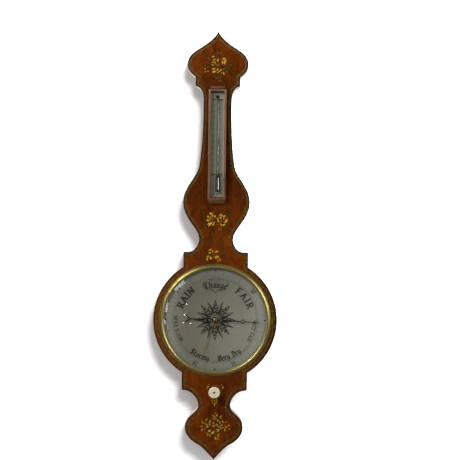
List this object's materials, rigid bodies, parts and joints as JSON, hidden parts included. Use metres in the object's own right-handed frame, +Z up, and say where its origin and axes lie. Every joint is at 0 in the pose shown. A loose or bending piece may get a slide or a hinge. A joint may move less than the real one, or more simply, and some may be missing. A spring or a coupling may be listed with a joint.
{
  "type": "mercury wheel barometer",
  "caption": "Wall-hung wheel barometer in a banjo-shaped wooden case, with a dial, two hands, a float-driven movement, a siphon tube and a boxed thermometer.",
  "frame": {"origin": "centre of the hanging hole in the plate at the top of the back, on the wall's plane", "axes": "+Z up, +Y into the wall, so the dial faces -Y, and +X to the right seen from the front"},
  "size_m": [0.309, 0.06, 1.0695],
  "materials": {
    "case_wood": "satin",
    "veneer": "french polished",
    "plain_wood": "planed, unpolished",
    "box_wood": "french polished",
    "cork": "matt",
    "brass": "polished and lacquered",
    "movement_brass": "satin",
    "iron_screw": "dull",
    "silvered_brass": "silvered, matt",
    "blued_steel": "blued",
    "steel": "polished",
    "glass": "polished",
    "mercury": "liquid",
    "bone": "polished",
    "cord": "twisted",
    "silk": "fine thread"
  },
  "bodies": {
    "case": {"neck_board": "case_wood", "round_body": "case_wood", "base_board": "case_wood", "front_veneer": "veneer", "neck_cover": "plain_wood", "neck_cover_pins": "brass", "lower_cover": "plain_wood", "lower_cover_screws": "iron_screw", "hanging_plate": "brass", "hanging_plate_screws": "iron_screw", "door_hinge_case_leaf": "brass", "door_hinge_case_screws": "iron_screw", "door_button_screw": "iron_screw", "bezel_hinge_case_leaf": "brass", "dial_plate": "silvered_brass", "dial_screws": "brass", "movement_plate": "movement_brass", "arbor_bush": "movement_brass", "movement_pillars": "movement_brass", "rear_bridge": "movement_brass", "bridge_screws": "steel", "set_cord": "cord", "knob_bush": "brass", "siphon_tube": "glass", "mercury_column": "mercury", "mercury_top": "mercury", "mercury_float_end": "mercury", "counterweight_guide": "glass", "tube_spacers": "cork", "tube_pads": "cork", "thermometer_box": "box_wood", "thermometer_mouldings": "case_wood", "thermometer_glass": "glass", "thermometer_plate": "silvered_brass", "thermometer_tube": "glass", "thermometer_mercury": "mercury", "thermometer_clips": "brass", "thermometer_screws": "iron_screw"},
    "hand": {"hand_arbor": "steel", "thread_pulley": "movement_brass", "indicator_hand": "blued_steel", "hand_cap": "brass"},
    "float": {"float": "steel", "float_thread": "silk"},
    "counterweight": {"counterweight": "brass", "counterweight_thread": "silk"},
    "knob": {"set_knob": "bone", "knob_arbor": "brass", "knob_pulley": "movement_brass"},
    "set_hand": {"set_hand": "brass", "set_hand_pipe": "movement_brass", "set_hand_pulley": "movement_brass"},
    "bezel": {"bezel": "brass", "dial_glass": "glass", "glass_ring": "brass", "bezel_hinge_bezel_leaf": "brass"},
    "back_door": {"back_door": "plain_wood", "door_hinge_door_leaf": "brass", "door_hinge_door_screws": "iron_screw"},
    "door_button": {"door_button": "brass"}
  },
  "joints": [
    {"name": "hand_turn", "type": "hinge", "parent": "case", "child": "hand", "pos_m": [0, -0.045, -0.69], "axis": [0, 1, 0], "range_deg": [-248, 63]},
    {"name": "float_slide", "type": "slide", "parent": "case", "child": "float", "axis": [0, 0, 1], "range_m": [-0.0078, 0.0304], "deforming": ["mercury_float_end", "float_thread"]},
    {"name": "counterweight_slide", "type": "slide", "parent": "case", "child": "counterweight", "axis": [0, 0, 1], "range_m": [-0.0304, 0.0078], "deforming": ["mercury_top", "counterweight_thread"]},
    {"name": "knob_turn", "type": "hinge", "parent": "case", "child": "knob", "pos_m": [0, -0.05, -0.87], "axis": [0, 1, 0], "continuous": true},
    {"name": "set_hand_turn", "type": "hinge", "parent": "case", "child": "set_hand", "pos_m": [0, -0.0425, -0.69], "axis": [0, 1, 0], "continuous": true},
    {"name": "bezel_hinge", "type": "hinge", "parent": "case", "child": "bezel", "pos_m": [0.1422, -0.0441, -0.69], "axis": [0, 0, 1], "range_deg": [0, 110]},
    {"name": "back_door_hinge", "type": "hinge", "parent": "case", "child": "back_door", "pos_m": [0.136, -0.0023, -0.69], "axis": [0, 0, -1], "range_deg": [0, 100]},
    {"name": "door_button_turn", "type": "hinge", "parent": "case", "child": "door_button", "pos_m": [-0.143, -0.0016, -0.69], "axis": [0, -1, 0], "range_deg": [0, 90]}
  ],
  "couplings": [
    {"joint": "float_slide", "follows": "hand_turn", "m_per_rad": -0.0069967},
    {"joint": "counterweight_slide", "follows": "hand_turn", "m_per_rad": 0.0069967},
    {"joint": "set_hand_turn", "follows": "knob_turn", "ratio": 1}
  ]
}
